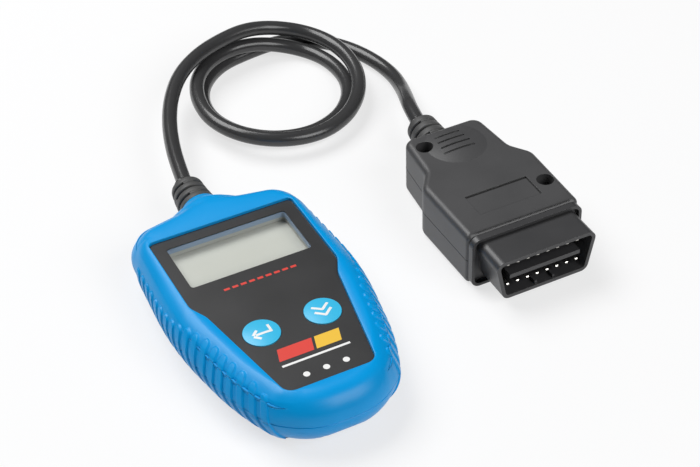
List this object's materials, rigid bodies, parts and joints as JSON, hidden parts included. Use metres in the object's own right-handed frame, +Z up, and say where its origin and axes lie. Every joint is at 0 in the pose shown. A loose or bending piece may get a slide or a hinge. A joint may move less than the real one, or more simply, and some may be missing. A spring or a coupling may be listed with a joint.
{
  "type": "obd code reader",
  "caption": "Handheld diagnostic code reader with a display window, push keys and a coiled cable that ends in a vehicle diagnostic plug.",
  "frame": {"origin": "on the floor, under the middle of the reader's case (bottom centre of its box without the cable)", "axes": "+Z up, out of the display; +Y towards the cable end of the case; +X to the right of the display"},
  "size_m": [0.1524, 0.2306, 0.0233],
  "materials": {
    "blue_plastic": "fine-grained satin moulding",
    "label_foil": "bare silver-grey polyester plate",
    "dark_faceplate": null,
    "clear_window": "clear acrylic lens",
    "bezel_plastic": "grey moulded frame",
    "display_glass": "blank grey-white display cell",
    "white_plastic": "natural white moulding",
    "strip_rubber": "elastomer contact strip",
    "board_laminate": "green solder resist",
    "chip_plastic": "black chip moulding",
    "tinned_metal": "bright tin plate",
    "capacitor_can": "aluminium can",
    "wire_jacket": "coloured insulation",
    "screw_steel": "dark plated steel",
    "key_plastic": "light blue satin with white symbols",
    "switch_body": "black switch body",
    "plunger_plastic": "dark switch button",
    "boot_rubber": "matte dark grey elastomer",
    "cable_jacket": "glossy black jacket",
    "plug_plastic": "satin dark grey moulding",
    "shroud_plastic": "black moulding, half gloss"
  },
  "bodies": {
    "reader": {"front_cover": "blue_plastic", "rear_cover": "blue_plastic", "rear_label": "label_foil", "faceplate_overlay": "dark_faceplate", "screen_window": "clear_window", "lcd_bezel": "bezel_plastic", "lcd_glass": "display_glass", "lcd_backlight": "white_plastic", "lcd_contact_strips": "strip_rubber", "main_board": "board_laminate", "controller_chip": "chip_plastic", "transceiver_chips": "chip_plastic", "voltage_regulator": "chip_plastic", "clock_crystal": "tinned_metal", "capacitors": "capacitor_can", "cable_header": "white_plastic", "cable_header_plug": "white_plastic", "cable_wires": "wire_jacket", "case_screws": "screw_steel", "board_screws": "screw_steel", "enter_switch_base": "switch_body", "scroll_switch_base": "switch_body", "reader_boot": "boot_rubber", "reader_cable_end": "cable_jacket", "cable_lead_in": "cable_jacket", "cable_coil": "cable_jacket", "cable_lead_out": "cable_jacket", "plug_boot": "boot_rubber", "plug_cable_end": "cable_jacket", "plug_upper_shell": "plug_plastic", "plug_lower_shell": "plug_plastic", "plug_screws": "screw_steel", "connector_shroud": "shroud_plastic", "contact_pins": "tinned_metal", "plug_wires": "wire_jacket"},
    "enter_button": {"enter_key": "key_plastic", "enter_switch_plunger": "plunger_plastic"},
    "scroll_button": {"scroll_key": "key_plastic", "scroll_switch_plunger": "plunger_plastic"}
  },
  "joints": [
    {"name": "enter_press", "type": "slide", "parent": "reader", "child": "enter_button", "axis": [0, 0, -1], "range_m": [0, 0.0005], "stiffness_N_per_m": 2000, "springref_m": -0.0003},
    {"name": "scroll_press", "type": "slide", "parent": "reader", "child": "scroll_button", "axis": [0, 0, -1], "range_m": [0, 0.0005], "stiffness_N_per_m": 2000, "springref_m": -0.0003}
  ]
}
